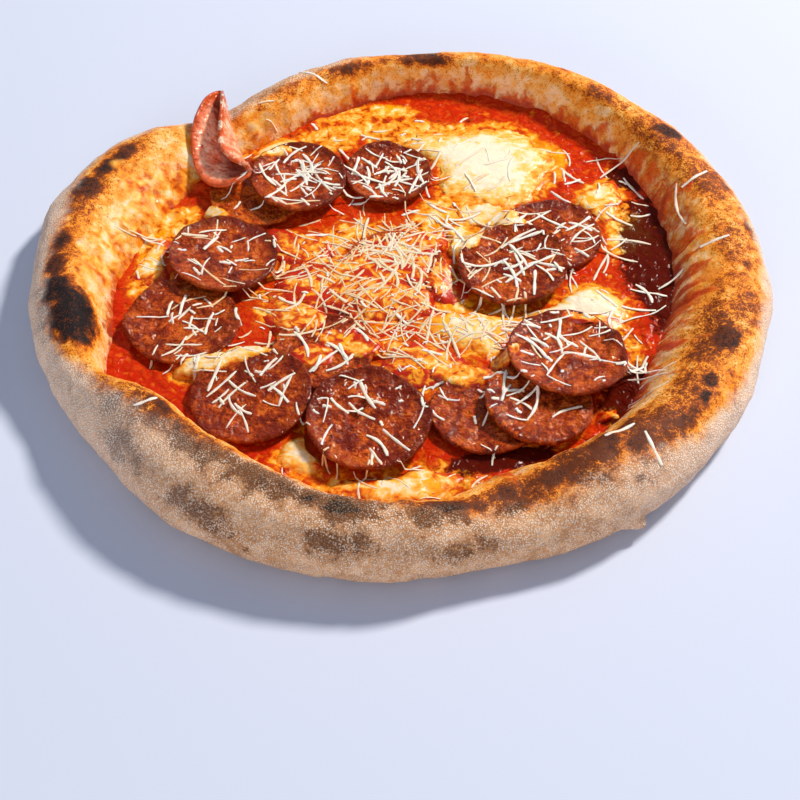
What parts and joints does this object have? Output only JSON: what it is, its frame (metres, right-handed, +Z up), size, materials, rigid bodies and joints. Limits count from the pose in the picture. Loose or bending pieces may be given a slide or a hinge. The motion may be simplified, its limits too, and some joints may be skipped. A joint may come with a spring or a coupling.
{
  "type": "pepperoni pizza",
  "caption": "Round wood-fired pizza with a puffed, charred rim, tomato sauce, melted mozzarella, slices of cured sausage and grated cheese on top.",
  "frame": {"origin": "on the flat underside, below the middle of the ring of dough, on the surface that the pizza lies on", "axes": "+Z up out of the toppings; the folded slice of sausage lies across the rim towards -X and +Y, and the thickest stretch of the rim faces -Y"},
  "size_m": [0.3283, 0.3133, 0.035],
  "materials": {
    "crust": "matt baked dough",
    "sauce": "wet and oily",
    "mozzarella": "melted, with a soft shine",
    "salami": "oily"
  },
  "bodies": {
    "root": {"crust": "crust", "tomato_sauce": "sauce", "mozzarella_back": "mozzarella", "mozzarella_centre": "mozzarella", "mozzarella_front": "mozzarella", "mozzarella_right": "mozzarella", "mozzarella_middle": "mozzarella", "mozzarella_left": "mozzarella", "mozzarella_left_low": "mozzarella", "mozzarella_front_left": "mozzarella", "mozzarella_far_right": "mozzarella", "mozzarella_back_left": "mozzarella", "mozzarella_front_right": "mozzarella", "mozzarella_low_middle": "mozzarella", "salami_1": "salami", "salami_2": "salami", "salami_3": "salami", "salami_4": "salami", "salami_5": "salami", "salami_6": "salami", "salami_7": "salami", "salami_8": "salami", "salami_9": "salami", "salami_10": "salami", "salami_11": "salami", "salami_12": "salami", "salami_13": "salami", "salami_14": "salami", "salami_folded": "salami"}
  },
  "joints": []
}
